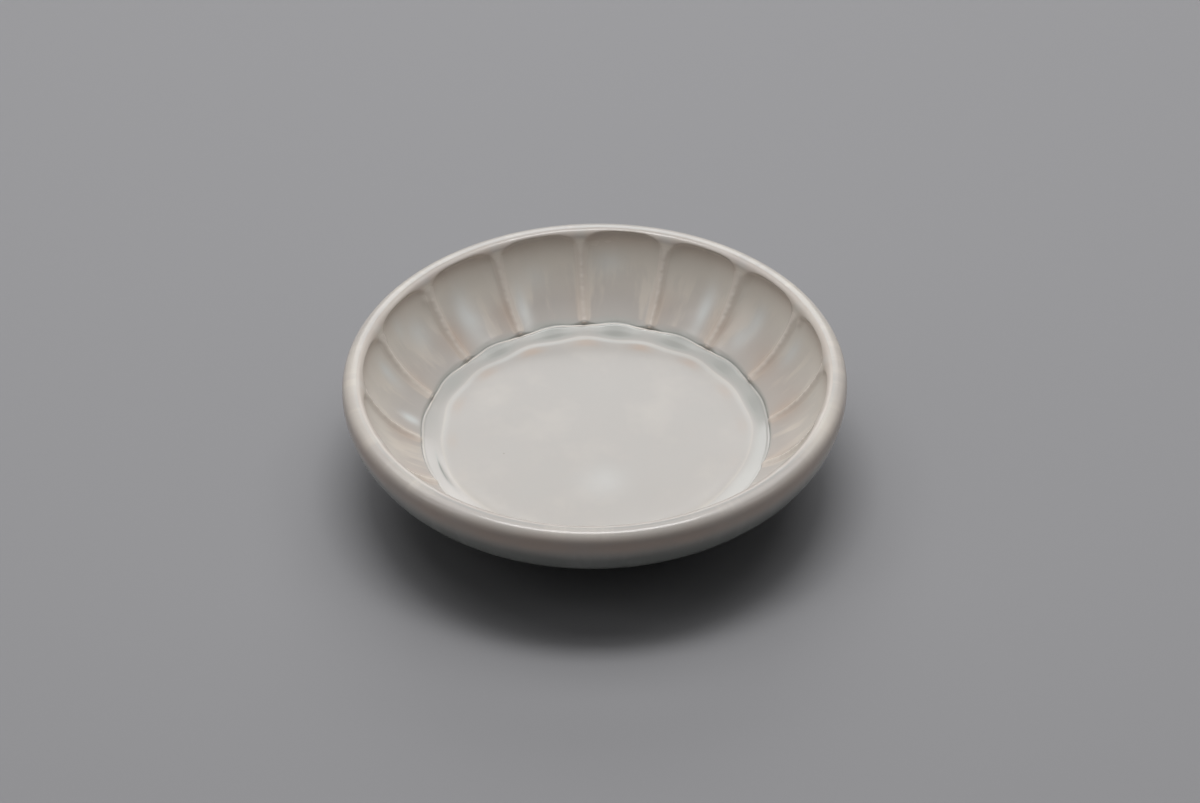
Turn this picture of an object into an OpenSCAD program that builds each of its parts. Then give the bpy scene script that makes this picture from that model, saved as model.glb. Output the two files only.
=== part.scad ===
// Small round porcelain dish for soy sauce, with a fluted inner wall and a foot ring.
// Upright, with the middle of the foot's bearing face at the origin. Sizes are in millimetres.

/* [Dish] */
// Width across the rim, over the glaze
dish_d = 90; // [84:0.5:94]
// Height of the crown of the rim above the table
dish_h = 22; // [20:0.5:26]
// Depth of the well, from the crown of the rim to the floor
well_depth = 14.7; // [13.5:0.1:15.5]

/* [Rim] */
// Radius of the rounding on the outside of the crown
rim_r = 2.6; // [2:0.05:3]
// Radius of the rounding on the inside of the crown
lip_r = 1.5; // [1.2:0.05:1.7]

/* [Wall] */
// Radius of the hollow curve that the inside of the wall follows
wall_r = 21; // [20.5:0.1:23]
// Steepness of the inside of the wall where it meets the lip, in degrees
wall_lean = 74.5; // [72:0.5:76]
// Radius of the belly under the rim
belly_r = 9.9; // [8:0.1:12]
// Slope of the outside under the belly, in degrees
under_slope = 36; // [32:1:40]
// Rise of the underside, from the foot ring out to where the wall begins
under_rise = 1; // [0.5:0.1:2]

/* [Flutes] */
// Number of flutes round the wall
flutes = 16; // [15:1:18]
// Depth of a flute under the lip
flute_depth = 0.85; // [0.85:0.05:1]
// Depth of a flute at the foot of the wall
flute_foot_depth = 0.7; // [0.7:0.05:0.8]
// Width left standing between two flutes
ridge_w = 1.2; // [1:0.1:1.6]
// Height of the step in which a ridge ends over the pooled glaze
ridge_step = 0.7; // [0.4:0.1:1]

/* [Foot ring] */
// Width across the foot ring, as a share of the dish's width
foot_share = 0.55; // [0.5:0.01:0.6]
// Width of the ring's clay where it is luted to the base
foot_w = 3.4; // [2.8:0.1:4.4]
// Width of the bare bearing face
bearing_w = 1.8; // [1.4:0.1:2.2]
// Height of the foot ring, from the table to the base
foot_h = 3.9; // [3:0.1:4.4]
// Rounding of the two edges of the bearing face
foot_edge_r = 0.4; // [0.2:0.05:0.5]

/* [Glaze] */
// Thickness of the coat on the wall, the rim and the foot ring
coat_t = 0.25; // [0.15:0.01:0.35]
// Thickness of the coat on the floor
floor_coat_t = 0.4; // [0.2:0.02:0.6]
// Width of the band of pooled glaze round the floor
pool_w = 3.4; // [3:0.1:4.5]
// Rise of the pooled glaze where it meets the ridges
pool_rise = 0.4; // [0.3:0.05:0.6]
// Height of the bare edge at the foot of the ring
bare_h = 1.1; // [0.8:0.1:1.6]

/* [Hidden] */
$fn = 144;

// Straight parts that stand for a curve in an outline
wall_parts = 8;
belly_parts = 12;
round_parts = 6;
pool_parts = 4;

// Depth that the coat's blank reaches into the porcelain, which is then taken out of it
overrun = 1;

dish_r = dish_d / 2;
foot_r = foot_share * dish_r;
floor_z = dish_h - well_depth;
bare_floor_z = floor_z - floor_coat_t;

// The crown is the highest ring of the rim, where the lip, the rim and two of the coats meet.
crown_r = dish_r - rim_r;
rim_mid = [crown_r, dish_h - rim_r];
lip_mid = [crown_r, dish_h - lip_r];
belly_mid = [dish_r - belly_r, dish_h - rim_r];

// The hollow curve of the wall touches the rounding of the lip.
wall_mid = lip_mid + (wall_r + lip_r) * [-sin(wall_lean), cos(wall_lean)];
wall_foot_z = floor_z + pool_rise + ridge_step;
wall_foot_angle = acos((wall_mid.y - wall_foot_z) / wall_r);
wall_foot_x = wall_mid.x + wall_r * sin(wall_foot_angle);

// The pooled glaze climbs to the foot of the wall on a round that touches the floor.
pool_r = (pow(pool_w, 2) + pow(pool_rise, 2)) / (2 * pool_rise);
pool_mid = [wall_foot_x - pool_w, floor_z + pool_r];
pool_angle = asin(pool_w / pool_r);

// A flute is hollowed to the round of a ball, deeper under the lip than at the foot of the wall.
half_angle = (wall_lean - wall_foot_angle) / 2;
mid_angle = (wall_lean + wall_foot_angle) / 2;
flute_shift = (flute_depth - flute_foot_depth) / 2 / sin(half_angle);
flute_mid = wall_mid + flute_shift * [cos(mid_angle), sin(mid_angle)];
flute_r = wall_r + (flute_depth + flute_foot_depth) / 2;
flute_pitch = 360 / flutes;

// Both sides of the foot ring lean in, from the base down to the rounds of the bearing face.
foot_mid_r = foot_r - foot_w / 2;
edge_reach = [(foot_w - bearing_w) / 2, foot_h - foot_edge_r];
foot_lean = acos(foot_edge_r / norm(edge_reach)) - atan2(edge_reach.y, edge_reach.x);

// Points along a round, from one angle to another, counted from the outward side.
function arc(mid, r, from, to, parts) =
    [for (i = [0:parts])
        let (a = from + (to - from) * i / parts)
        mid + r * [cos(a), sin(a)]];

function backwards(points) = [for (i = [len(points) - 1:-1:0]) points[i]];

// Inside of the rim from the foot of the wall up to the crown, a given depth under the glaze.
function inside(skin) =
    let (foot_angle = asin((wall_foot_x + skin - wall_mid.x) / (wall_r + skin)))
    concat(
        arc(wall_mid, wall_r + skin, foot_angle - 90, wall_lean - 90, wall_parts),
        arc(lip_mid, lip_r - skin, 90 + wall_lean, 90, round_parts)
    );

// Outside of the wall from the crown down to the foot ring, a given depth under the glaze.
function outside(skin) =
    let (
        belly_end = belly_mid + (belly_r - skin) * [sin(under_slope), -cos(under_slope)],
        base_z = foot_h - coat_t + skin,
        turn_z = base_z + under_rise,
        turn_r = belly_end.x - (belly_end.y - turn_z) / tan(under_slope)
    )
    concat(
        arc(rim_mid, rim_r - skin, 90, 0, round_parts),
        arc(belly_mid, belly_r - skin, 0, under_slope - 90, belly_parts),
        [[turn_r, turn_z], [foot_r + coat_t - skin, base_z]]
    );

// Round of the pooled glaze, from the floor up to the foot of the wall, or from there on up.
function pool_line(first, last) =
    arc(
        pool_mid,
        pool_r,
        first * pool_angle / pool_parts - 90,
        last * pool_angle / pool_parts - 90,
        last - first
    );

// Half the width of the foot ring at a height above the table, over a coat of a given thickness.
function foot_half_w(z, coat) = foot_w / 2 - (foot_h - z) * tan(foot_lean) + coat / cos(foot_lean);

// Outer side of the foot ring's clay, as distances from the middle of its width.
foot_side = concat(
    arc([bearing_w / 2, foot_edge_r], foot_edge_r, -90, -foot_lean, round_parts),
    [[foot_w / 2, foot_h]]
);

// Coat on a side of the foot ring, from its wiped lower edge up to the base.
foot_coat = [
    [foot_half_w(bare_h, 0), bare_h],
    [foot_half_w(bare_h + coat_t, coat_t), bare_h + coat_t],
    [foot_w / 2 + coat_t, foot_h - coat_t]
];

// One flute: a ball's hollow, kept outside the foot of the wall and clear of the ridges beside it.
module flute_hollow(skin, floor_line) {
    side = flute_pitch - 2 * atan((ridge_w / 2 - skin) / crown_r);
    floor_end = floor_line[len(floor_line) - 1];
    intersection() {
        translate([flute_mid.x, 0, flute_mid.y])
            rotate([0, 0, 180])
                sphere(flute_r + skin);
        rotate_extrude(start = -side / 2, angle = side)
            polygon(concat(
                floor_line,
                [[dish_r, floor_end.y], [dish_r, dish_r], [pool_mid.x, dish_r]]
            ));
    }
}

module flute_hollows(skin, floor_line) {
    for (i = [0:flutes - 1])
        rotate([0, 0, flute_pitch / 2 + i * flute_pitch])
            flute_hollow(skin, floor_line);
}

module body() {
    color([0.93, 0.92, 0.9])
        difference() {
            rotate_extrude()
                polygon(concat(
                    [[0, foot_h], [0, bare_floor_z], [wall_foot_x + coat_t, bare_floor_z]],
                    inside(coat_t),
                    outside(coat_t)
                ));
            flute_hollows(coat_t, [[wall_foot_x + coat_t, bare_floor_z], [dish_r, bare_floor_z]]);
        }
}

module foot_ring() {
    color([0.87, 0.84, 0.79])
        rotate_extrude()
            polygon(concat(
                [for (p = foot_side) [foot_mid_r + p.x, p.y]],
                [for (p = backwards(foot_side)) [foot_mid_r - p.x, p.y]]
            ));
}

module inner_glaze() {
    back_r = flute_r + coat_t + overrun;
    back_z = bare_floor_z - overrun;
    color([0.78, 0.84, 0.8])
        difference() {
            rotate_extrude()
                polygon(concat(
                    [[0, back_z], [0, floor_z]],
                    pool_line(0, pool_parts),
                    inside(0),
                    arc(
                        wall_mid,
                        back_r,
                        -acos((crown_r - wall_mid.x) / back_r),
                        -asin((wall_mid.y - back_z) / back_r),
                        pool_parts
                    )
                ));
            flute_hollows(0, pool_line(pool_parts, 2 * pool_parts));
            body();
        }
}

module outer_glaze() {
    color([0.8, 0.85, 0.82])
        rotate_extrude()
            polygon(concat(
                outside(0),
                [for (p = backwards(foot_coat)) [foot_mid_r + p.x, p.y]],
                backwards(outside(coat_t))
            ));
}

module base_glaze() {
    color([0.76, 0.83, 0.79])
        rotate_extrude()
            polygon(concat(
                [[0, foot_h], [foot_mid_r - foot_w / 2, foot_h]],
                [for (p = foot_coat) [foot_mid_r - p.x, p.y]],
                [[0, foot_h - coat_t]]
            ));
}

body();
foot_ring();
inner_glaze();
outer_glaze();
base_glaze();
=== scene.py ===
import math

import bpy
import numpy as np
from mathutils import Matrix, Vector


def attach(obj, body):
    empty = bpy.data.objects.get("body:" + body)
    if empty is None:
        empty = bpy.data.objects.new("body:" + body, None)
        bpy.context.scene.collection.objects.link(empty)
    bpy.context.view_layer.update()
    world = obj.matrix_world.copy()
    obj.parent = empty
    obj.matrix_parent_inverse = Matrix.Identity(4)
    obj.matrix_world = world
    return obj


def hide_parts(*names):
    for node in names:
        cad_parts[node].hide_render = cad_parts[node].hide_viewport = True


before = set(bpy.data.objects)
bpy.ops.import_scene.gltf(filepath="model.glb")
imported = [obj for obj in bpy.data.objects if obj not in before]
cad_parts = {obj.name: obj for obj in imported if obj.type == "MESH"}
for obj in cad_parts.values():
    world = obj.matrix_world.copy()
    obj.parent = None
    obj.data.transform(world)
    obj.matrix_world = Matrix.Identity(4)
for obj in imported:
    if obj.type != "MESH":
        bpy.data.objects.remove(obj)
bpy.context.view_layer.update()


# Camera: high in front of the dish and a long way off, looking down into the well. It stands a little
# to one side, so that no ridge points straight at it.
MM = 0.001
frame_w_px = 1200
focal_px = 3908
sensor_w = 36
camera_distance = 700 * MM
camera_elevation = math.radians(39.45)
camera_turn = math.radians(-3.3)
camera_roll = math.radians(0.92)
camera_aside = 0.91 * MM
aim_z = 14.85 * MM

turn = Matrix.Rotation(camera_turn, 3, "Z")
aside = turn @ Vector((1, 0, 0))
away = turn @ Vector((0, -math.cos(camera_elevation), math.sin(camera_elevation)))
over = away.cross(aside)
right = math.cos(camera_roll) * aside - math.sin(camera_roll) * over
up = math.sin(camera_roll) * aside + math.cos(camera_roll) * over
place = aside * camera_aside + Vector((0, 0, aim_z)) + away * camera_distance

camera_data = bpy.data.cameras.new("camera")
camera_data.sensor_width = sensor_w
camera_data.lens = sensor_w * focal_px / frame_w_px
camera = bpy.data.objects.new("camera", camera_data)
camera.matrix_world = Matrix((
    (right.x, up.x, away.x, place.x),
    (right.y, up.y, away.y, place.y),
    (right.z, up.z, away.z, place.z),
    (0, 0, 0, 1),
))
bpy.context.scene.collection.objects.link(camera)
bpy.context.scene.camera = camera
bpy.context.scene.view_settings.view_transform = "Standard"


# Lamps: a wide soft box high over the back of the dish, with a brighter pane in it, a low screen
# behind, a tall dim panel on either side, a dim card over the front and a dim room. The near outside
# of the dish is in its own soft shade.
room_colour = (0.96, 0.98, 1, 1)
room_strength = 0.03


def soft_box(name, heading, elevation, distance, size, watts):
    """A rectangular lamp, size = (width, height) in metres, aimed at the dish. Its heading is counted
    in degrees from the back round to the right, as the camera sees them, and its elevation is over 90
    degrees where the lamp stands in front."""
    data = bpy.data.lights.new(name, "AREA")
    data.shape = "RECTANGLE"
    data.size, data.size_y = size
    data.energy = watts
    lamp = bpy.data.objects.new(name, data)
    round_by, height = math.radians(heading), math.radians(elevation)
    level = math.cos(height)
    toward = Vector((math.sin(round_by) * level, math.cos(round_by) * level, math.sin(height)))
    lamp.location = turn @ toward * distance
    lamp.rotation_euler = lamp.location.to_track_quat("Z", "Y").to_euler()
    bpy.context.scene.collection.objects.link(lamp)


soft_box("high_lamp", 0, 72, 0.9, (1.3, 0.64), 4.3)
soft_box("bright_pane", 0, 78, 0.9, (0.5, 0.2), 2.6)
soft_box("low_screen", 0, 28.5, 1.2, (0.8, 0.48), 2.9)
soft_box("left_panel", -105, 38, 1.3, (0.25, 0.9), 0.8)
soft_box("right_panel", 105, 38, 1.3, (0.25, 0.9), 0.55)
soft_box("front_card", 0, 108, 0.9, (0.5, 0.4), 0.15)

room = bpy.data.worlds.new("room")
bpy.context.scene.world = room
room.use_nodes = True
room.node_tree.nodes["Background"].inputs["Color"].default_value = room_colour
room.node_tree.nodes["Background"].inputs["Strength"].default_value = room_strength


# Table: a plain pale matte board, much wider than the view, on which the dish stands.
table_half_w = 2
table_colour = (0.345, 0.343, 0.356, 1)
table_roughness = 0.85

table_mesh = bpy.data.meshes.new("table")
corners = [(x * table_half_w, y * table_half_w, 0) for x, y in ((-1, -1), (1, -1), (1, 1), (-1, 1))]
table_mesh.from_pydata(corners, [], [(0, 1, 2, 3)])
table = bpy.data.objects.new("table", table_mesh)
bpy.context.scene.collection.objects.link(table)
table_paint = bpy.data.materials.new("table_paint")
table_paint.use_nodes = True
table_shader = table_paint.node_tree.nodes["Principled BSDF"]
table_shader.inputs["Base Color"].default_value = table_colour
table_shader.inputs["Roughness"].default_value = table_roughness
table_mesh.materials.append(table_paint)


# Porcelain body: a thick bowl thrown and turned in pale clay, with sixteen flutes carved round the
# inside of its wall. The three coats of glaze cover it all over, so its clay shows on the foot only.
clay_grain = 1.1 * MM
clay_grain_share = 0.5
clay_specks_per_grain = 0.6
clay_speck_in, clay_speck_out = 0.06, 0.14
clay_speck_share = 0.6
clay_blush_w = 16 * MM
clay_toast_start, clay_toast_span = 0.55, 0.4
clay_groove_share = 0.8
clay_bump_h = 0.06 * MM
clay_bump_strength = 0.5
clay_roughness = 0.78
clay_pale = (0.72, 0.65, 0.56, 1)
clay_toasted = (0.56, 0.41, 0.29, 1)
clay_speck = (0.35, 0.25, 0.18, 1)
black, white = (0, 0, 0, 1), (1, 1, 1, 1)
body_toast = 1
body_groove_w = 1.2 * MM
wave_scale_of_groove = 0.16


def add_node(tree, kind, sockets=None, **settings):
    """A new node of a tree. Each of its sockets is given a value, or the output that feeds it."""
    node = tree.nodes.new(kind)
    for key, value in settings.items():
        setattr(node, key, value)
    for key, value in (sockets or {}).items():
        if isinstance(value, bpy.types.NodeSocket):
            tree.links.new(value, node.inputs[key])
        else:
            node.inputs[key].default_value = value
    return node


def add_math(tree, operation, *values, clamp=False):
    """Output of a Math node over two or three values or sockets."""
    node = add_node(
        tree, "ShaderNodeMath", dict(enumerate(values)), operation=operation, use_clamp=clamp
    )
    return node.outputs[0]


def add_noise(tree, at, scale, detail):
    """Soft noise between 0 and 1 over the places that at gives, with scale lumps to a unit."""
    sockets = {"Vector": at, "Scale": scale, "Detail": detail}
    return add_node(tree, "ShaderNodeTexNoise", sockets).outputs["Fac"]


def add_mix(tree, share, first, second, blend="MIX"):
    """Colour between the first and the second, by the share of the second."""
    sockets = {"Fac": share, "Color1": first, "Color2": second}
    return add_node(tree, "ShaderNodeMixRGB", sockets, blend_type=blend).outputs["Color"]


def add_ramp(tree, fed_by, stops, kind="LINEAR"):
    """Colour that goes through stops, (position, colour), as what feeds it goes from 0 to 1."""
    node = add_node(tree, "ShaderNodeValToRGB", {"Fac": fed_by})
    node.color_ramp.interpolation = kind
    ends = node.color_ramp.elements
    while len(ends) < len(stops):
        ends.new(0.5)
    for end, (position, colour) in zip(ends, stops):
        end.position = position
        end.color = colour
    return node.outputs["Color"]


def new_group(name, inputs, outputs):
    """An empty node group with named sockets, (name, kind, starting value)."""
    tree = bpy.data.node_groups.new(name, "ShaderNodeTree")
    for way, sockets in (("INPUT", inputs), ("OUTPUT", outputs)):
        for key, kind, start in sockets:
            socket = tree.interface.new_socket(key, in_out=way, socket_type="NodeSocket" + kind)
            if start is not None:
                socket.default_value = start
    return tree, tree.nodes.new("NodeGroupInput").outputs, tree.nodes.new("NodeGroupOutput")


def new_material(name, **values):
    """A material with a Principled shader, and constant values on that shader's own sockets."""
    material = bpy.data.materials.new(name)
    material.use_nodes = True
    shader = material.node_tree.nodes["Principled BSDF"]
    for key, value in values.items():
        shader.inputs[key.replace("_", " ")].default_value = value
    return material, material.node_tree, shader


def new_clay(name, toast, groove_w):
    """Bare fired clay: soft patches of toasted colour, fine grains and dark specks, and the grooves of
    the turning tool, a wave of the distance from the axis, whose high and low rings are each about
    groove_w wide. A higher toast browns more of the clay."""
    material, tree, shader = new_material(name, Roughness=clay_roughness)
    at = add_node(tree, "ShaderNodeTexCoord").outputs["Object"]
    patches = add_noise(tree, at, 1 / clay_blush_w, 3)
    grains = add_noise(tree, at, 1 / clay_grain, 5)
    browned = add_math(tree, "MULTIPLY_ADD", grains, clay_grain_share, patches)
    toast_end = clay_toast_start + clay_toast_span / toast
    toasting = ((clay_toast_start, clay_pale), (toast_end, clay_toasted))
    colour = add_ramp(tree, browned, toasting, "EASE")
    speck_sockets = {"Vector": at, "Scale": clay_specks_per_grain / clay_grain}
    specks = add_node(tree, "ShaderNodeTexVoronoi", speck_sockets)
    speck_stops = ((clay_speck_in, clay_speck), (clay_speck_out, white))
    speck = add_ramp(tree, specks.outputs["Distance"], speck_stops)
    speckled = add_mix(tree, clay_speck_share, colour, speck, "MULTIPLY")
    grooves = add_node(
        tree,
        "ShaderNodeTexWave",
        {
            "Vector": at,
            "Scale": wave_scale_of_groove / groove_w,
            "Distortion": 1.2,
            "Detail": 2,
            "Detail Scale": 0.4,
        },
        wave_type="RINGS",
        rings_direction="Z",
    )
    height = add_math(tree, "MULTIPLY_ADD", grooves.outputs["Fac"], clay_groove_share, grains)
    bump = add_node(
        tree,
        "ShaderNodeBump",
        {"Height": height, "Strength": clay_bump_strength, "Distance": clay_bump_h},
    )
    tree.links.new(speckled, shader.inputs["Base Color"])
    tree.links.new(bump.outputs["Normal"], shader.inputs["Normal"])
    return material


def dress(node, material):
    """Give a CAD node's mesh one material."""
    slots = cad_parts[node].data.materials
    slots.clear()
    slots.append(material)


dress("body", new_clay("fired_clay", body_toast, body_groove_w))


# Foot ring: a ring of the same clay, luted to the base and turned, and left bare on its bearing face.
# The kiln toasts it a little where the glaze stops.
foot_toast = 1.6
foot_groove_w = 0.5 * MM

dress("foot_ring", new_clay("toasted_clay", foot_toast, foot_groove_w))


# Inner coat: pale green-white glaze poured into the well. It is thin and warm on the ridges and the
# crown of the rim, thicker in the flutes, and pooled where the wall meets the floor.
dish_r = 45 * MM
dish_h = 22 * MM
rim_r = 2.6 * MM
lip_r = 1.5 * MM
wall_r = 21 * MM
wall_lean = math.radians(74.5)
floor_z = 7.3 * MM
coat_t = 0.25 * MM
floor_coat_t = 0.4 * MM
crease = 0.18 * MM

flutes = 16
flute_depth = 0.85 * MM
flute_foot_depth = 0.7 * MM
side_fill = 0.2 * MM
near_foot_fill = 0.85
foot_fill_h = 2.5 * MM
arch_h = 3 * MM
arch_power = 5
arch_edge_h = 0.45 * MM
arch_edge_per_drop = 1.6
arch_drop_step = 0.07 * MM
arch_drops = np.array([5, 4, 3, 1, 3, 4, 5, 5, 4, 3, 5, 4, 6, 4, 3, 5])

ridge_step = 0.7 * MM
ridge_half_w = 0.72 * MM
ridge_top_half_w = 1.5 * MM
ridge_top_h = 1.7 * MM
bead_h = 0.26 * MM
bead_half_w = 0.7 * MM
bead_foot_h = 1.2 * MM
knob_gap = 1.3 * MM
knob_beat = 2.6 * knob_gap
knob_half_w = 0.5 * MM
knob_share = 0.3
knob_start = 9
groove_d = 0.03 * MM
groove_half_w = 0.5 * MM
groove_from_ridge = 1.1 * MM

# Each drip: bearing in degrees from the right round to the back, then its height and its half width
# in mm.
drips = ((65.6, 19.6, 0.6), (42.7, 19.7, 0.6), (137, 18.3, 0.7), (20.2, 19.2, 0.5), (156, 19, 0.5))
drip_h = 0.3 * MM
drip_stretch = 1.6

# Each wave of the line where the pool starts: its height, the times it goes round the dish, and its
# start in radians.
pool_waves = ((0.25 * MM, 3, 1), (0.15 * MM, 7, 2))
pool_w = 3.4 * MM
pool_scallop = 0.34 * MM
pool_rise = 0.4 * MM
pool_climb = 0.13 * MM
pool_slope = 0.2
shoulder_h = 0.04 * MM
shoulder_w = 0.9 * MM
meniscus_h = 0.11 * MM
meniscus_half_w = 0.22 * MM
meniscus_from_wall = 1.2 * meniscus_half_w
meniscus_near = 0.35
left_run_bearing = 196
left_run_half_angle = math.radians(9)
left_run_h = 0.08 * MM
left_run_r = 28.6 * MM
left_run_half_w = 0.5 * MM
swell_h = 0.007 * MM
swell_l = 14 * MM
swells = 9
swell_fade_h = 2 * MM
swell_fade_r = 3 * MM

ridge_spread_degrees = 0.2
flute_depth_spread = (-0.07, 0.05)
ridge_w_spread = (0.8, 1.25)
steps_per_flute = 36
step_crowding = 0.7
row_crowding = 1.4
soft_rows_before_foot, soft_rows_past_foot, soft_rows_before_lip, soft_times = 3, 10, 6, 2
sharp_angle = math.radians(60)
seed = 7

crown_r = dish_r - rim_r
lip_mid = np.array([crown_r, dish_h - lip_r])
wall_mid = lip_mid + (wall_r + lip_r) * np.array([-math.sin(wall_lean), math.cos(wall_lean)])
foot_angle = math.acos((wall_mid[1] - floor_z - pool_rise - ridge_step) / wall_r)
wall_foot_r = wall_mid[0] + wall_r * math.sin(foot_angle)
half_angle = (wall_lean - foot_angle) / 2
mid_angle = (wall_lean + foot_angle) / 2
shift = (flute_depth - flute_foot_depth) / 2 / math.sin(half_angle)
ball_mid = wall_mid + shift * np.array([math.cos(mid_angle), math.sin(mid_angle)])
ball_r = wall_r + (flute_depth + flute_foot_depth) / 2
pitch = 2 * math.pi / flutes
chance = np.random.default_rng(seed)


def held(x):
    """x, held between 0 and 1."""
    return np.clip(x, 0, 1)


def eased(x):
    """x^2 (3 - 2x), which goes softly from 0 to 1 as x does."""
    x = held(x)
    return x ** 2 * (3 - 2 * x)


def hill(x, half_w):
    """Bell curve exp(-(x / half_w)^2)."""
    return np.exp(-(x / half_w) ** 2)


def smooth_max(a, b, reach):
    """The larger of a and b, rounded where they are less than reach apart:
    max(a, b) + max(reach - |a - b|, 0)^2 / (4 reach)."""
    return np.maximum(a, b) + np.maximum(reach - np.abs(a - b), 0) ** 2 / (4 * reach)


def off(azimuth, degrees):
    """Angle from a bearing, given in degrees, to each azimuth, between -pi and pi."""
    return (azimuth - math.radians(degrees) + math.pi) % (2 * math.pi) - math.pi


def waves(x, y, count, length, rng):
    """Sum of count sine waves over the plane, from 0.6 to 1.6 times length long, each with its own
    heading and start, between about -1 and 1."""
    heading = rng.uniform(0, 2 * math.pi, count)
    scale = 2 * math.pi / (length * rng.uniform(0.6, 1.6, count))
    start = rng.uniform(0, 2 * math.pi, count)
    phase = (x[..., None] * np.cos(heading) + y[..., None] * np.sin(heading)) * scale + start
    return np.sin(phase).sum(axis=-1) / math.sqrt(count)


def soften(rows, first, last, times):
    """Round the corners of a run of rows: each row becomes a quarter of the one before, half of itself
    and a quarter of the one after, several times over."""
    for _ in range(times):
        around_each = rows[first - 1:last - 1] + 2 * rows[first:last] + rows[first + 1:last + 1]
        rows[first:last] = around_each / 4


def spun(profile_r, profile_z, azimuth):
    """Points (r cos a, r sin a, z) of profile rows carried round the axis."""
    r, z, azimuth = np.broadcast_arrays(profile_r, profile_z, azimuth)
    return np.stack([r * np.cos(azimuth), r * np.sin(azimuth), z], axis=-1)


def shell(name, grid, on_axis, material, **attributes):
    """Closed mesh of a grid of points (row, azimuth, xyz). The rows follow the outline of the piece's
    section, outwards over the top, down and back. With on_axis the first and last row are one point
    each, and otherwise the last row joins the first. An attribute holds a value or vector a point."""
    rows, count = grid.shape[:2]
    ring = np.arange(rows * count).reshape(rows, count)
    low, high = (ring[:-1], ring[1:]) if on_axis else (ring, np.roll(ring, -1, axis=0))
    quads = np.stack([low, high, np.roll(high, -1, axis=1), np.roll(low, -1, axis=1)], axis=-1)
    points = grid.reshape(-1, 3)
    keep = np.ones(len(points), bool)
    faces = quads.reshape(-1, 4).tolist()
    if on_axis:
        last = (rows - 2) * count + 1
        number = np.concatenate([np.zeros(count, int), np.arange(1, last), np.full(count, last)])
        keep[1:count] = False
        keep[-count + 1:] = False
        start = number[quads[0]][:, [0, 1, 2]]
        end = number[quads[-1]][:, [0, 1, 3]]
        faces = start.tolist() + number[quads[1:-1]].reshape(-1, 4).tolist() + end.tolist()
    mesh = bpy.data.meshes.new(name)
    mesh.from_pydata(points[keep], [], faces)
    for key, values in attributes.items():
        values = np.broadcast_to(values, grid.shape[:2] + np.shape(values)[2:])
        kind, field = ("FLOAT_VECTOR", "vector") if values.ndim == 3 else ("FLOAT", "value")
        layer = mesh.attributes.new(key, kind, "POINT")
        flat = values.reshape((len(points),) + values.shape[2:])[keep]
        layer.data.foreach_set(field, np.ascontiguousarray(flat, np.float32).ravel())
    mesh.polygons.foreach_set("use_smooth", np.ones(len(mesh.polygons), bool))
    mesh.set_sharp_from_angle(angle=sharp_angle)
    mesh.materials.append(material)
    piece = bpy.data.objects.new(name, mesh)
    bpy.context.scene.collection.objects.link(piece)
    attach(piece, "root")
    return piece


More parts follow.
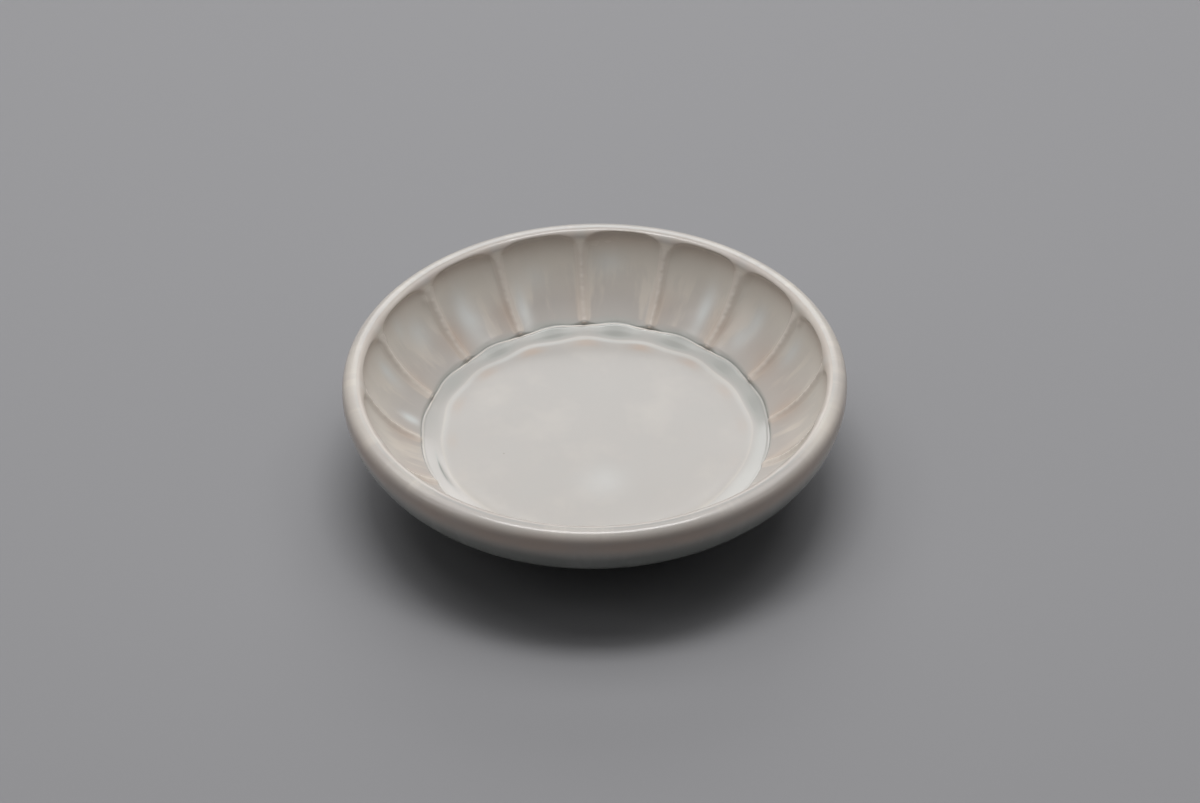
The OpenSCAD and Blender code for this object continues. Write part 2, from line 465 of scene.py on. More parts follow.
def well(floor_shares, pool_shares, wall_shares, lip_angles, skin, lowest):
    """Rows (r, z) of the well's section from the axis over the floor, up the pooled glaze, the wall
    and the lip to the crown, at a depth skin under the glaze.
    The plain wall is the arc m + sqrt(R^2 - (m_z - z)^2), cut off at its foot. A flute reaches out to
    its ball, m cos(a) + sqrt(R^2 - (m_z - z)^2 - (m sin(a))^2), where a is the angle from the flute's
    middle, and its sides are fuller by u^2 - u^6, where u goes from 0 there to 1 at the ridge. It ends
    under an arch that sinks by u^5, and glaze fills its foot more on the near half than at the back.
    A bell-shaped bead with a groove on each side stands between two flutes. Knobs thicken it, a sine
    wave of the height times a slower one, and it fades out at the wall's foot. A drip is a bell of
    glaze on the wall. The pooled glaze rises from the floor by s u + (1 - s) u^2, where u goes from 0
    at its start to 1 at the wall. It meets the wall higher in the middle of a flute, by cos^2, behind
    a small bell-shaped rise. The arrays that it works with are given below, and hold one value for
    each step round the dish."""
    relief = 1 - skin / coat_t
    start_z = lowest + pool_rise + pool_climb * np.cos(across / pitch * math.pi) ** 2
    end_z = lip_mid[1] + (lip_r - skin) * math.cos(wall_lean)
    wall_z = start_z + (end_z - start_z) * wall_shares[:, None]
    wall = wall_mid[0] + np.sqrt(np.maximum((wall_r + skin) ** 2 - (wall_mid[1] - wall_z) ** 2, 0))
    wall = smooth_max(wall, wall_foot_r + skin + 0 * wall_z, crease)
    lip = lip_mid[0] - (lip_r - skin) * np.sin(lip_angles)[:, None] + 0 * across
    lip_z = lip_mid[1] + (lip_r - skin) * np.cos(lip_angles)[:, None] + 0 * across
    plain = np.concatenate([wall, lip])
    z = np.concatenate([wall_z, lip_z])

    under_root = (ball_r + skin) ** 2 - (ball_mid[1] - z) ** 2 - (ball_mid[0] * np.sin(across)) ** 2
    ball = ball_mid[0] * np.cos(across) + np.sqrt(np.maximum(under_root, 0))
    to_ridge = np.abs(across) * 2 / pitch
    fuller = relief * side_fill * (to_ridge ** 2 - to_ridge ** 6)
    edge_z = dish_h - arch_drop - arch_h * to_ridge ** arch_power
    below_arch = eased((edge_z - z) / (arch_edge_h + arch_edge_per_drop * arch_drop))
    hollow = smooth_max(((ball - plain) * flute_share + fuller) * below_arch, 0 * plain, crease)
    at_foot = hill(z - lowest - pool_rise - ridge_step, foot_fill_h)
    hollow = hollow * (1 - near_foot_fill * relief * (1 - to_back ** 3) * at_foot)

    from_ridge = plain * (pitch / 2 - np.abs(across))
    at_top = np.exp(-np.maximum(lip_mid[1] - z, 0) / ridge_top_h)
    ridge_now_w = ridge_half_w * ridge_share + (ridge_top_half_w - ridge_half_w) * at_top
    knobs = np.sin(2 * math.pi * z / knob_gap + knob_start * ridge_share)
    knobs = knobs * np.sin(2 * math.pi * z / knob_beat) * hill(from_ridge, knob_half_w)
    bead = bead_h * hill(from_ridge, bead_half_w) * (1 + knob_share * knobs)
    bead = bead * eased((z - start_z) / bead_foot_h)
    groove = groove_d * hill(from_ridge - groove_from_ridge, groove_half_w)
    hollow = hollow * (1 - hill(from_ridge, ridge_now_w)) + relief * (1 - at_top) * (groove - bead)
    for bearing, height, half_w in drips:
        drop = hill(off(azimuth, bearing) * plain, half_w * MM)
        drop = drop * hill(z - height * MM, drip_stretch * half_w * MM)
        hollow = hollow - relief * drip_h * drop
    wall_now = plain + hollow

    pool_shares = pool_shares[:, None]
    pool_radii = pool_start + (wall_now[0] - pool_start) * pool_shares
    floor_radii = pool_start * floor_shares[:, None]
    risen = pool_slope * pool_shares + (1 - pool_slope) * pool_shares ** 2
    meniscus = hill(wall_now[0] - pool_radii - meniscus_from_wall, meniscus_half_w)
    meniscus = meniscus_h * meniscus * (meniscus_near + (1 - meniscus_near) * to_back)
    pool_z = lowest + (start_z - lowest) * risen + relief * meniscus
    r = np.concatenate([floor_radii, pool_radii, wall_now])
    return r, np.concatenate([0 * floor_radii + lowest, pool_z, z])


# The steps round the dish are closer together at the ridges. Each flute and each ridge is a little
# different: a share of the plain depth or width, and how far the flute's arch lies under the crown.
step = np.arange(flutes * steps_per_flute)
flute_number, share = step // steps_per_flute, (step % steps_per_flute) / steps_per_flute
share = share - step_crowding * np.sin(2 * math.pi * share) / (2 * math.pi)
wander = np.radians(chance.uniform(-ridge_spread_degrees, ridge_spread_degrees, flutes))
ridge_azimuth = np.arange(flutes) * pitch + wander
ridge_azimuth = np.append(ridge_azimuth, ridge_azimuth[0] + 2 * math.pi)
azimuth = ridge_azimuth[flute_number] * (1 - share) + ridge_azimuth[flute_number + 1] * share
across = (share - 1 / 2) * pitch
to_back = (1 + np.sin(azimuth)) / 2
deeper = chance.uniform(*flute_depth_spread, flutes)[flute_number]
flute_share = 1 + deeper * np.cos(across / pitch * math.pi)
ridge_shares = chance.uniform(*ridge_w_spread, flutes + 1)
ridge_shares[-1] = ridge_shares[0]
ridge_share = np.where(share < 0.5, ridge_shares[flute_number], ridge_shares[flute_number + 1])
arch_drop = (arch_drops * arch_drop_step)[flute_number]
scallops = np.cos(2 * math.pi * across / pitch)
pool_start = wall_foot_r - pool_w - pool_scallop * to_back ** 2 * scallops
for height, times, start in pool_waves:
    pool_start = pool_start + height * np.sin(times * azimuth + start)

# The upper skin has its corners softened, and then the slow swells of the glaze, the shoulder of the
# pool and a run of glaze at its left edge.
floor_rows, pool_rows, wall_rows, lip_rows = 20, 34, 82, 16
even = np.linspace(0, 1, pool_rows)[1:-1]
top_r, top_z = well(
    1 - (1 - np.linspace(0, 1, floor_rows)) ** row_crowding,
    even / 2 + (1 - np.cos(math.pi * even)) / 4,
    np.linspace(0, 1, wall_rows) ** row_crowding,
    np.linspace(wall_lean, 0, lip_rows)[1:],
    0,
    floor_z,
)
foot_row = floor_rows + pool_rows - 2
lip_row = foot_row + wall_rows
for rows in (top_r, top_z):
    soften(rows, foot_row - soft_rows_before_foot, foot_row + soft_rows_past_foot, soft_times)
    soften(rows, lip_row - soft_rows_before_lip, len(rows) - 1, soft_times)
x, y = top_r * np.cos(azimuth), top_r * np.sin(azimuth)
swell_share = held((dish_h - top_z) / swell_fade_h) * held(top_r / swell_fade_r)
left_run = hill(off(azimuth, left_run_bearing), left_run_half_angle)
top_z = top_z + waves(x, y, swells, swell_l, chance) * swell_h * swell_share
top_z = top_z + shoulder_h * hill(top_r - pool_start + shoulder_w, shoulder_w)
top_z = top_z + left_run_h * left_run * hill(top_r - left_run_r, left_run_half_w)

# The back of the coat lies on the clay. It is smooth, so a few rows are enough.
back_r, back_z = well(
    np.linspace(0, 1, 3),
    np.array([0.5]),
    np.linspace(0, 1, 14),
    np.linspace(wall_lean, 0, 5)[1:],
    coat_t,
    floor_z - floor_coat_t,
)
back_grid = spun(back_r, back_z, azimuth)

# Where a point lies: near a ridge's crest, on the wall, under the lip, in a flute or in the pool.
crest_half_w = 1.15 * MM
wall_fade_h = 1 * MM
crown_h, crown_fade_h = 0.8 * MM, 1.5 * MM
pool_fade_w, pool_top_h, pool_top_fade_h = 1.3 * MM, 1.4 * MM, 0.8 * MM

foot_line = top_r[foot_row]
above_floor = top_z - floor_z
from_crest = top_r * (pitch / 2 - np.abs(across))
crest = hill(from_crest ** 2, crest_half_w ** 2)
on_wall = held((above_floor - pool_rise) / wall_fade_h)
off_wall = 1 - on_wall
under_lip = held((dish_h - crown_h - top_z) / crown_fade_h)
on_crown = on_wall * (1 - under_lip)
in_flute = on_wall * (1 - crest)
pooled = held((top_r - pool_start) / pool_fade_w)
pooled = pooled * held((pool_top_h - above_floor) / pool_top_fade_h)

# Depth of the glaze, from 0, thin and warm, to 1, deep and grey-green. It also carries painted light
# and shade. It is less in a pale line where the pool starts and in a pale line just in front of the
# wall's foot at the back, both painted highlights, and more in a dark line along that foot, which is
# partly glaze gathered in the corner and partly painted shade.
floor_depth = 0.36
back_pool_depth, back_pool_power, plain_pool_share, right_pool_depth = 0.38, 2.2, 0.65, 0.16
wall_depth, low_wall_depth, low_wall_start, low_wall_h = 0.11, 0.18, 1.3, 12 * MM
wall_foot_depth, wall_foot_h = 0.14, 6 * MM
crown_depth, crown_shade_depth = 0.27, 0.13
pool_edge_highlight_depth, pool_edge_highlight_half_w = -0.06, 0.35 * MM
foot_glint_depth, foot_glint_from_foot, foot_glint_half_w, foot_glint_top_h = -0.5, 0.22 * MM, 0.16 * MM, 2 * MM
foot_pool_and_shade_depth, foot_line_past, foot_line_half_w = 0.55, 0.12 * MM, 0.13 * MM
foot_line_top_h, foot_line_off_ridge, foot_line_ridge_half_w = 1.6 * MM, 0.3, 1.8 * MM
left_line_depth, left_line_r, left_line_half_w = 0.5, 29.1 * MM, 0.16 * MM

scalloped = plain_pool_share + (1 - plain_pool_share) * scallops
pool_depth = back_pool_depth * to_back ** back_pool_power * scalloped
pool_depth = pool_depth + right_pool_depth * np.maximum(np.cos(azimuth), 0) ** 2
flute_glaze = wall_depth + low_wall_depth * eased(low_wall_start - above_floor / low_wall_h)
# Painted shade: the crown is deeper, and so darker, towards the near and far sides of the dish, which
# tones down the lamps' highlight there.
crown_glaze_and_shade = crown_depth + crown_shade_depth * np.sin(azimuth) ** 2
# Painted highlight at the back, along the foot of the wall, where the glaze's meniscus catches the
# lamps.
foot_glint = to_back ** 2 * hill(top_r - foot_line + foot_glint_from_foot, foot_glint_half_w)
# The dark line along the wall's foot: partly glaze gathered in the corner, partly painted shade of the
# small step there, darkest in painted crescents of shade under the ridges' ends at the back.
under_ridge_shade = to_back * hill(from_crest, foot_line_ridge_half_w)
foot_pool_and_shade = foot_line_off_ridge + (1 - foot_line_off_ridge) * under_ridge_shade
foot_pool_and_shade = foot_pool_and_shade * hill(top_r - foot_line - foot_line_past, foot_line_half_w)

depth = floor_depth * off_wall + pool_depth * pooled + in_flute * under_lip * flute_glaze
depth = depth + on_crown * crown_glaze_and_shade
depth = depth + wall_foot_depth * in_flute * eased(1 - above_floor / wall_foot_h)
# Painted highlight: a pale line on the floor where the pool starts.
depth = depth + pool_edge_highlight_depth * off_wall * hill(top_r - pool_start, pool_edge_highlight_half_w)
depth = depth + foot_glint_depth * foot_glint * (above_floor < foot_glint_top_h)
depth = depth + foot_pool_and_shade_depth * foot_pool_and_shade * (above_floor < foot_line_top_h)
depth = depth + left_line_depth * left_run * hill(top_r - left_line_r, left_line_half_w)

# Brown blush, in a band low on the wall that differs from flute to flute, on the crests, on the crown,
# and in lobes on the floor in front of the ridges at the back. Under the lip it is partly the glaze's
# warm tone and partly painted shade at the top of each flute.
wall_blush, crest_blush, crown_blush = 0.1, 0.15, 0.15
clean_crest_share, clean_crest_half_w = 0.5, 0.6 * MM
band_spread, band_z, band_half_h = (0.1, 0.8), 10.5 * MM, 2.8 * MM
band_at_middle, band_side_half_angle = 0.3, pitch / 5
lip_blush_and_shade, lip_blush_and_shade_z, lip_blush_and_shade_half_h = 0.35, 20.2 * MM, 1.5 * MM
lobe_blush, lobe_from_pool, lobe_half_w, lobe_half_l = 0.9, 1.7 * MM, 2.2 * MM, 1 * MM

band = on_wall * hill(top_z - band_z, band_half_h)
band = band * chance.uniform(*band_spread, flutes)[flute_number]
band_sides = hill(pitch / 2 - np.abs(across), band_side_half_angle)
band = band * (band_at_middle + (1 - band_at_middle) * band_sides)
clean_crest = clean_crest_share * hill(from_crest, clean_crest_half_w)
blush = (wall_blush * on_wall + band) * (1 - clean_crest)
blush = blush + crest_blush * on_wall * under_lip * crest + crown_blush * on_crown
# Partly painted shade: the brown under the lip at the top of each flute.
blush = blush + lip_blush_and_shade * in_flute * hill(top_z - lip_blush_and_shade_z, lip_blush_and_shade_half_h)
lobes = hill(top_r - pool_start + lobe_from_pool, lobe_half_l) * hill(from_crest, lobe_half_w)
blush = blush + lobe_blush * to_back ** 2 * lobes * off_wall

# Painted sheen: pale blue-white patches that stand for the lamps' reflections in the glossy glaze. Each
# one on the wall: its bearing in degrees, its height, half width and half length in mm, and its
# strength. A painted highlight rings the start of the pool at the back, and a painted reflection of a
# light lies on the near floor.
sheen_spots = (
    (108.5, 10.5, 1.3, 3.4, 0.7), (125.5, 12.5, 2.2, 3.6, 0.9), (143.5, 14.4, 2.2, 2.4, 0.7),
    (148.5, 17, 1.4, 2, 0.5), (162.4, 14.4, 1.2, 2.4, 0.8), (172.2, 9.4, 1, 1.2, 0.9),
    (103.1, 14.7, 2.4, 2, 0.35), (82, 15.7, 3, 2, 0.4), (52.4, 12, 1.3, 3.4, 0.75),
    (34.9, 13.6, 1.6, 2.6, 0.6), (37.4, 10.5, 1.8, 1.6, 0.5), (17.8, 14.4, 1.5, 2.6, 0.5),
)
pool_sheen, pool_sheen_inside, pool_sheen_half_w = 0.5, 0.35 * MM, 0.5 * MM
floor_sheen, floor_sheen_x, floor_sheen_y, floor_sheen_r = 0.3, 0.3 * MM, -13.5 * MM, 4 * MM

milk = 0 * depth
for bearing, height, half_w, half_l, strength in sheen_spots:
    sideways = hill(off(azimuth, bearing) * top_r, half_w * MM)
    milk = milk + strength * on_wall * sideways * hill(top_z - height * MM, half_l * MM)
pool_sheen_ring = to_back ** 2 * hill(top_r - pool_start + pool_sheen_inside, pool_sheen_half_w)
floor_sheen_patch = hill(np.hypot(x - floor_sheen_x, y - floor_sheen_y), floor_sheen_r)
milk = milk + off_wall * (pool_sheen * pool_sheen_ring + floor_sheen * floor_sheen_patch)

# The run of the glaze, in mm: how far a point lies across its flute, its height, and a number that
# sets each flute's streaks apart from the next one's.
flute_apart = 22
run = (across * top_r / MM, top_z / MM, flute_apart * flute_number)
run = np.stack(np.broadcast_arrays(*run), axis=-1)

# Glaze as a node group. Its colour goes by depth from warm cream to grey-green, unevenly, with blush
# and painted shade, a pale painted sheen for highlights and reflections, and a few brown pits over it.
# It is glossier where it is deep, over a faint orange peel.
glaze_tones = (
    (0.0, (0.81, 0.758, 0.694, 1)),
    (0.2, (0.79, 0.744, 0.676, 1)),
    (0.36, (0.6, 0.576, 0.55, 1)),
    (0.6, (0.555, 0.558, 0.533, 1)),
    # The darkest tone is reached only low on the outside, where painted shade adds to the depth.
    (1.0, (0.28, 0.29, 0.272, 1)),
)
blush_and_shade_colour = (0.63, 0.52, 0.445, 1)
sheen_colour = (0.81, 0.83, 0.82, 1)
pit_colour = (0.3, 0.27, 0.22, 1)
clouds_per_m, peel_per_m, fine_per_m, pits_per_m = 110, 420, 1400, 260
cloud_depth, streak_depth = 0.16, -0.15
blush_and_shade_unevenness, sheen_unevenness = 1.2, 1.6
thin_roughness, cloud_roughness, depth_roughness, least_roughness = 0.27, 0.08, -0.36, 0.06
fine_bump, pit_bump = 0.12, -0.8
pit_stops = ((0.035, white), (0.07, black))
few_stops = ((0.83, black), (0.85, white))

glaze_tree, glaze_in, glaze_out = new_group(
    "glaze",
    (
        ("Depth", "Float", 0.3),
        ("Blush and shade", "Float", 0.0),
        ("Sheen", "Float", 0.0),
        ("Streaks", "Float", 0.0),
        ("Place", "Vector", None),
    ),
    (("Colour", "Color", None), ("Roughness", "Float", None), ("Height", "Float", None)),
)
clouds = add_noise(glaze_tree, glaze_in["Place"], clouds_per_m, 4)
peel = add_noise(glaze_tree, glaze_in["Place"], peel_per_m, 1)
fine = add_noise(glaze_tree, glaze_in["Place"], fine_per_m, 2)
uneven = add_math(glaze_tree, "SUBTRACT", clouds, 0.5)
depth_now = add_math(glaze_tree, "MULTIPLY_ADD", uneven, cloud_depth, glaze_in["Depth"])
depth_now = add_math(glaze_tree, "MULTIPLY_ADD", glaze_in["Streaks"], streak_depth, depth_now)
blush_and_shade_now = add_math(glaze_tree, "MULTIPLY_ADD", uneven, blush_and_shade_unevenness, 1)
blush_and_shade_now = add_math(glaze_tree, "MULTIPLY", glaze_in["Blush and shade"], blush_and_shade_now, clamp=True)
sheen_now = add_math(glaze_tree, "MULTIPLY_ADD", uneven, sheen_unevenness, 1)
sheen_now = add_math(glaze_tree, "MULTIPLY", glaze_in["Sheen"], sheen_now, clamp=True)
pit_sockets = {"Vector": glaze_in["Place"], "Scale": pits_per_m}
pits = add_node(glaze_tree, "ShaderNodeTexVoronoi", pit_sockets)
pit = add_ramp(glaze_tree, pits.outputs["Distance"], pit_stops)
few = add_ramp(glaze_tree, pits.outputs["Color"], few_stops)
pit = add_math(glaze_tree, "MULTIPLY", pit, few)
colour = add_ramp(glaze_tree, depth_now, glaze_tones)
# Brown blush, with painted shade under the lip and on the outside under the rim.
colour = add_mix(glaze_tree, blush_and_shade_now, colour, blush_and_shade_colour)
# Painted sheen: highlights and reflections laid on as a pale blue-white.
colour = add_mix(glaze_tree, sheen_now, colour, sheen_colour)
colour = add_mix(glaze_tree, pit, colour, pit_colour)
rough = add_math(glaze_tree, "MULTIPLY_ADD", clouds, cloud_roughness, thin_roughness)
rough = add_math(glaze_tree, "MULTIPLY_ADD", glaze_in["Depth"], depth_roughness, rough)
rough = add_math(glaze_tree, "MAXIMUM", rough, least_roughness)
bumps = add_math(glaze_tree, "MULTIPLY_ADD", fine, fine_bump, peel)
bumps = add_math(glaze_tree, "MULTIPLY_ADD", pit, pit_bump, bumps)
glaze_tree.links.new(colour, glaze_out.inputs["Colour"])
glaze_tree.links.new(rough, glaze_out.inputs["Roughness"])
glaze_tree.links.new(bumps, glaze_out.inputs["Height"])

# Streaks as a node group: noise drawn out down the run of the glaze, at a width and length in mm.
streak_stops = ((0.46, black), (0.7, white))

streak_tree, streak_in, streak_out = new_group(
    "streaks",
    (("Run", "Vector", None), ("Width", "Float", 1.0), ("Length", "Float", 8.0)),
    (("Streaks", "Float", None),),
)
parts = add_node(streak_tree, "ShaderNodeSeparateXYZ", {0: streak_in["Run"]}).outputs
across_run = add_math(streak_tree, "DIVIDE", parts["X"], streak_in["Width"])
down_run = add_math(streak_tree, "DIVIDE", parts["Y"], streak_in["Length"])
apart_run = add_math(streak_tree, "DIVIDE", parts["Z"], streak_in["Width"])
run_sockets = {0: across_run, 1: down_run, 2: apart_run}
run_place = add_node(streak_tree, "ShaderNodeCombineXYZ", run_sockets).outputs[0]
run_noise = add_noise(streak_tree, run_place, 1, 3)
run_mask = add_ramp(streak_tree, run_noise, streak_stops, "EASE")
streak_tree.links.new(run_mask, streak_out.inputs["Streaks"])

coat_bump_h = 0.006 * MM
inner_streak_w = 3
streak_l = 9
glaze_ior = 1.5


def new_glaze(name, bump_h, streak_w):
    """A coat of glaze: the shared glaze and streaks, fed by the piece's own attributes."""
    material, tree, shader = new_material(name, IOR=glaze_ior)
    given = {}
    for key in ("depth", "blush", "milk", "streaks", "run"):
        given[key] = add_node(tree, "ShaderNodeAttribute", attribute_name="glaze_" + key).outputs
    streaks = add_node(
        tree,
        "ShaderNodeGroup",
        {"Run": given["run"]["Vector"], "Width": streak_w, "Length": streak_l},
        node_tree=streak_tree,
    )
    streaked = add_math(tree, "MULTIPLY", streaks.outputs["Streaks"], given["streaks"]["Fac"])
    glaze = add_node(
        tree,
        "ShaderNodeGroup",
        {
            "Depth": given["depth"]["Fac"],
            "Blush and shade": given["blush"]["Fac"],
            "Sheen": given["milk"]["Fac"],
            "Streaks": streaked,
            "Place": add_node(tree, "ShaderNodeTexCoord").outputs["Object"],
        },
        node_tree=glaze_tree,
    )
    bump = add_node(tree, "ShaderNodeBump", {"Height": glaze.outputs["Height"], "Distance": bump_h})
    tree.links.new(glaze.outputs["Colour"], shader.inputs["Base Color"])
    tree.links.new(glaze.outputs["Roughness"], shader.inputs["Roughness"])
    tree.links.new(bump.outputs["Normal"], shader.inputs["Normal"])
    return material


inner = shell(
    "inner_coat",
    np.concatenate([spun(top_r, top_z, azimuth), back_grid[::-1]]),
    True,
    new_glaze("inner_glaze_coat", coat_bump_h, inner_streak_w),
    glaze_depth=np.concatenate([depth, 0 * back_r]),
    glaze_blush=np.concatenate([blush, 0 * back_r]),
    glaze_milk=np.concatenate([milk, 0 * back_r]),
    glaze_run=np.concatenate([run, 0 * back_grid]),
    glaze_streaks=np.concatenate([in_flute * under_lip, 0 * back_r]),
)
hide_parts("inner_glaze")


# Outer coat: the same glaze on the outside, from the crown of the rim down the belly and the outer side
# of the foot. It was dipped, so it thickens into a soft roll where it stops over the bare clay.
belly_r = 9.9 * MM
under_slope = math.radians(36)
under_rise = 1 * MM
foot_r = 24.75 * MM
foot_w = 3.4 * MM
foot_h = 3.9 * MM
bearing_w = 1.8 * MM
foot_edge_r = 0.4 * MM
rim_fullness = 0.22
bare_h = 1.1 * MM
roll_h = 0.12 * MM
roll_mid_h = 0.55 * MM
roll_half_h = 0.45 * MM
turning_gap = 2.4 * MM
turning_h = 0.01 * MM
turning_z = 10 * MM
turning_half_h = 6 * MM

# Each wave of the coat's edge over the bare clay: its height in mm, the times it goes round the
# foot, and its start in radians.
edge_waves = ((0.12, 2, 1), (0.07, 5, 0), (0.04, 11, 2))

under_depth_and_shade, under_depth_and_shade_h = 0.65, 6 * MM
drip_depth, drip_waves, drip_ring_r, drip_l, drip_w = 0.05, 8, 9, 9 * MM, 4
roll_depth, roll_depth_mid, roll_depth_half_h = 0.4, 0.5 * MM, 0.5 * MM
rim_blush_and_shade, back_rim_blush_and_shade = 0.7, -0.25
rim_blush_and_shade_z, rim_blush_and_shade_half_h = 19.6 * MM, 1.9 * MM
rim_blush_and_shade_from_crown = 0.5 * MM
outer_streaks = 0.4
outer_streak_w = 2.5
skin_steps, side_steps, edge_steps, back_steps = 20, 10, 3, 6

rim_mid = np.array([crown_r, dish_h - rim_r])
belly_mid = np.array([dish_r - belly_r, dish_h - rim_r])
foot_mid_r = foot_r - foot_w / 2
edge_reach = np.array([(foot_w - bearing_w) / 2, foot_h - foot_edge_r])
foot_lean = math.acos(foot_edge_r / np.hypot(*edge_reach))
foot_lean = foot_lean - math.atan2(edge_reach[1], edge_reach[0])


def arc(mid, radius, start, end, count):
    """Points mid + radius (cos t, sin t), as rows (r, z), for count angles t from start to end."""
    t = np.linspace(start, end, count)
    return mid + radius * np.stack([np.cos(t), np.sin(t)], axis=-1)


def line(start, end, count):
    """Points from start to end, without start."""
    return start + (np.array(end) - start) * np.linspace(0, 1, count + 1)[1:, None]


def outside(skin, count):
    """Rows (r, z) of the outside at a depth skin under the glaze: the rim, the belly, the straight
    underside and the short rise to the foot. The rim is a round with cos and sin raised to a power
    just under 1, which makes it a little fuller than a circle."""
    power = 1 - rim_fullness * (1 - skin / coat_t)
    rim = arc([0, 0], 1, math.pi / 2, 0, count)
    rim = rim_mid + (rim_r - skin) * np.maximum(rim, 0) ** power
    belly = arc(belly_mid, belly_r - skin, 0, under_slope - math.pi / 2, 2 * count)[1:]
    base_z = foot_h - coat_t + skin
    turn_z = base_z + under_rise
    turn_r = belly[-1][0] - (belly[-1][1] - turn_z) / math.tan(under_slope)
    return np.concatenate([
        rim,
        belly,
        line(belly[-1], [turn_r, turn_z], count),
        line([turn_r, turn_z], [foot_r + coat_t - skin, base_z], count // 2),
    ])


def foot_half_w(z, coat):
    """Half the width of the foot ring at height z, over a coat of a given thickness."""
    return foot_w / 2 - (foot_h - z) * math.tan(foot_lean) + coat / math.cos(foot_lean)


def foot_side(count):
    """Rows (r from the middle of the ring, z) of the coat on the foot's side, from its upper end down
    to its edge over the bare clay, where its last round stands in from the coat's skin."""
    top = np.array([foot_w / 2 + coat_t, foot_h - coat_t])
    low = np.array([foot_half_w(bare_h + coat_t, coat_t), bare_h + coat_t])
    edge = np.array([foot_half_w(bare_h, 0), bare_h])
    return np.concatenate([line(top, low, count), line(low, edge, edge_steps)])


def dipped(rows, foot_rows, side, around):
    """Rows carried round the axis. The rows on the foot swell by a bell-shaped roll above the coat's
    edge, outwards or inwards as side is 1 or -1. The edge rises and falls, and the roll grows and
    shrinks, by a few slow waves of the azimuth."""
    r = rows[:, :1] + 0 * around
    z = rows[:, 1:] + 0 * around
    edge_wave = sum(height * np.sin(times * around + start) for height, times, start in edge_waves)
    lift = held((foot_h - coat_t - z) / (foot_h - coat_t - bare_h))
    roll = roll_h * hill(z - bare_h - roll_mid_h, roll_half_h) * (1 + edge_wave)
    r = r + side * roll * foot_rows[:, None]
    z = z + edge_wave * MM * lift ** 2 * foot_rows[:, None]
    return r, z


# The skin runs from the crown to the foot's edge, with a faint spiral of turning marks on the belly,
# and the back runs over the clay to the crown again.
around = azimuth[::2]
skin_rows = outside(0, skin_steps)
side_rows = [foot_mid_r, 0] + foot_side(side_steps)
back_rows = outside(coat_t, back_steps)[::-1]
section = np.concatenate([skin_rows, side_rows, back_rows])
on_skin = slice(len(skin_rows))
on_foot = np.zeros(len(section))
on_foot[len(skin_rows):-len(back_rows)] = 1
outer_r, outer_z = dipped(section, on_foot, 1, around)
turned = np.sin(2 * math.pi * outer_z / turning_gap + around)
turned = turned * hill(outer_z - turning_z, turning_half_h)
outer_r[on_skin] -= turning_h * (1 + turned[on_skin])

# The depth is least on the rim and more below it, so the outside is darker towards the bottom, partly
# thicker glaze and partly painted shade of the belly's underside. It drips a little: waves drip_w long,
# read round a ring of radius drip_ring_r and drawn out down the wall.
dripping = waves(
    drip_ring_r * np.cos(around) + outer_z / drip_l,
    drip_ring_r * np.sin(around),
    drip_waves,
    drip_w,
    chance,
)
# The rim's depth, with the same painted shade towards the near and far sides as on the inner coat.
outer_depth = crown_depth + crown_shade_depth * np.sin(around) ** 2 + drip_depth * dripping
outer_depth = outer_depth + under_depth_and_shade * eased((dish_h - outer_z) / under_depth_and_shade_h)
rolled = hill(outer_z - bare_h - roll_depth_mid, roll_depth_half_h)
outer_depth = outer_depth + roll_depth * on_foot[:, None] * rolled
# Brown on the outside under the rim: partly the glaze's warm tone, partly painted warm shade where the
# rim turns away from the light, stronger at the front than at the back.
outer_blush_and_shade = rim_blush_and_shade + back_rim_blush_and_shade * np.sin(around)
outer_blush_and_shade = outer_blush_and_shade * hill(outer_z - rim_blush_and_shade_z, rim_blush_and_shade_half_h)
outer_blush_and_shade = outer_blush_and_shade * (outer_r > crown_r + rim_blush_and_shade_from_crown)

outer = shell(
    "outer_coat",
    spun(outer_r, outer_z, around),
    False,
    new_glaze("outer_glaze_coat", coat_bump_h, outer_streak_w),
    glaze_depth=outer_depth,
    glaze_blush=outer_blush_and_shade,
    glaze_milk=0 * outer_r,
    glaze_run=spun(dish_r / MM, outer_z / MM, around)[..., [0, 2, 1]],
    glaze_streaks=outer_streaks + 0 * outer_r,
)
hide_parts("outer_glaze")


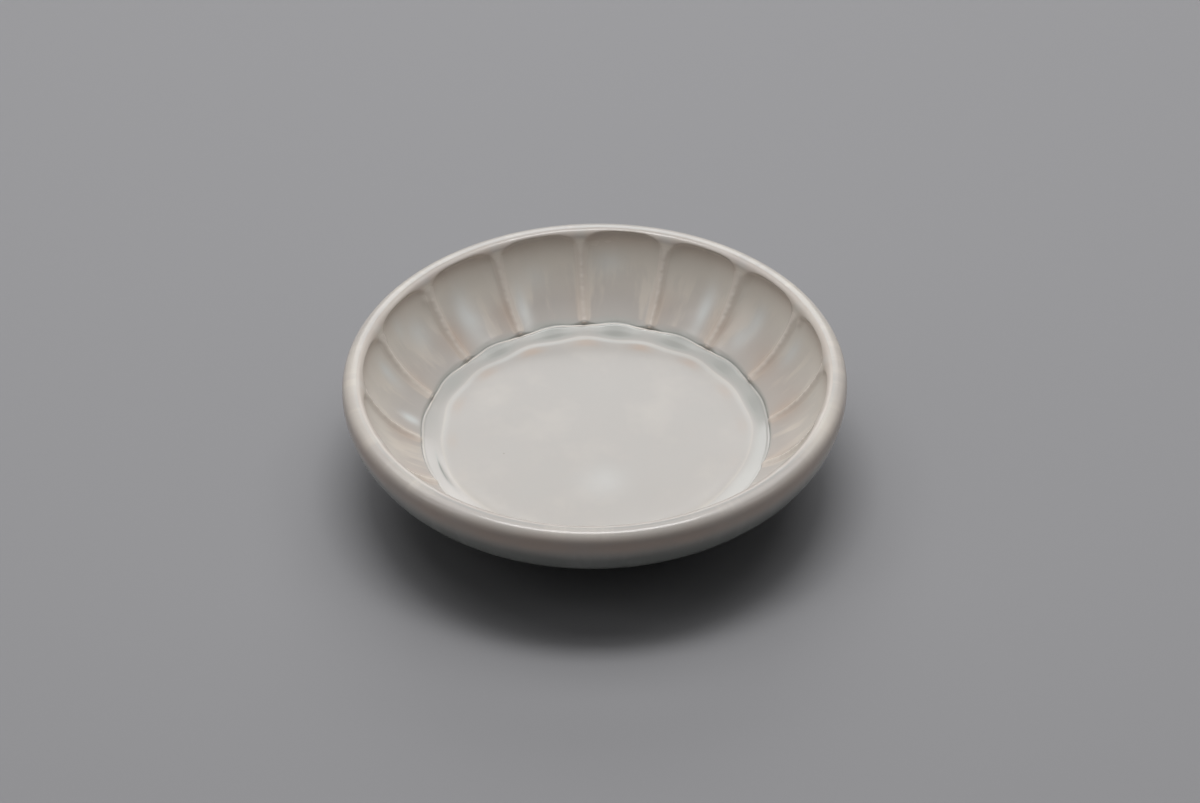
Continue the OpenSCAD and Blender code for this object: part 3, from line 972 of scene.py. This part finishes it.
# Base coat: glaze on the base inside the foot ring, over the faint spiral of the turning tool. It is
# pooled in the corner of the ring, and wiped off the ring's edge.
spiral_gap = 2.1 * MM
spiral_h = 0.025 * MM
spiral_end_w = 2 * MM
corner_pool_h = 0.1 * MM
corner_pool_w = 1.2 * MM
base_plain_depth, corner_depth, corner_depth_w, spiral_depth = 0.3, 0.4, 2 * MM, 0.1
base_streaks = 0.2
base_streak_w = 2.5
base_bump_h = 0.008 * MM
flat_steps, top_steps = 44, 4
hair_w = 0.01 * MM

ring_in_r = foot_mid_r - foot_w / 2
base_r = ring_in_r - coat_t
inner_side = [foot_mid_r, 0] + foot_side(side_steps)[::-1] * [-1, 1]
flat = line(inner_side[-1], [0, foot_h - coat_t], flat_steps)
section = np.concatenate([
    [[0, foot_h], [ring_in_r, foot_h]],
    line([ring_in_r, foot_h], inner_side[0], top_steps)[:-1],
    inner_side,
    flat,
])
on_flat = np.zeros((len(section), 1))
on_flat[-len(flat):] = 1
on_foot = (section[:, 0] > base_r - hair_w) & (section[:, 1] < foot_h - coat_t / 2)
base_coat_r, base_coat_z = dipped(section, on_foot.astype(float), -1, around)
wound = np.sin(2 * math.pi * base_coat_r / spiral_gap - around)
spiral = spiral_h * (1 + wound) * held((base_r - base_coat_r) / spiral_end_w)
corner_pool = corner_pool_h * hill(base_r - base_coat_r, corner_pool_w)
from_axis = held(base_coat_r / spiral_end_w)
base_coat_z -= (spiral + corner_pool) * on_flat * from_axis
base_depth = base_plain_depth + corner_depth * hill(base_r - base_coat_r, corner_depth_w)
base_depth = base_depth + spiral_depth * wound * on_flat

base = shell(
    "base_coat",
    spun(base_coat_r, base_coat_z, around),
    True,
    new_glaze("base_glaze_coat", base_bump_h, base_streak_w),
    glaze_depth=base_depth,
    glaze_blush=0 * base_coat_r,
    glaze_milk=0 * base_coat_r,
    glaze_run=spun(base_coat_r / MM, base_coat_z / MM, around),
    glaze_streaks=base_streaks + 0 * base_coat_r,
)
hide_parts("base_glaze")
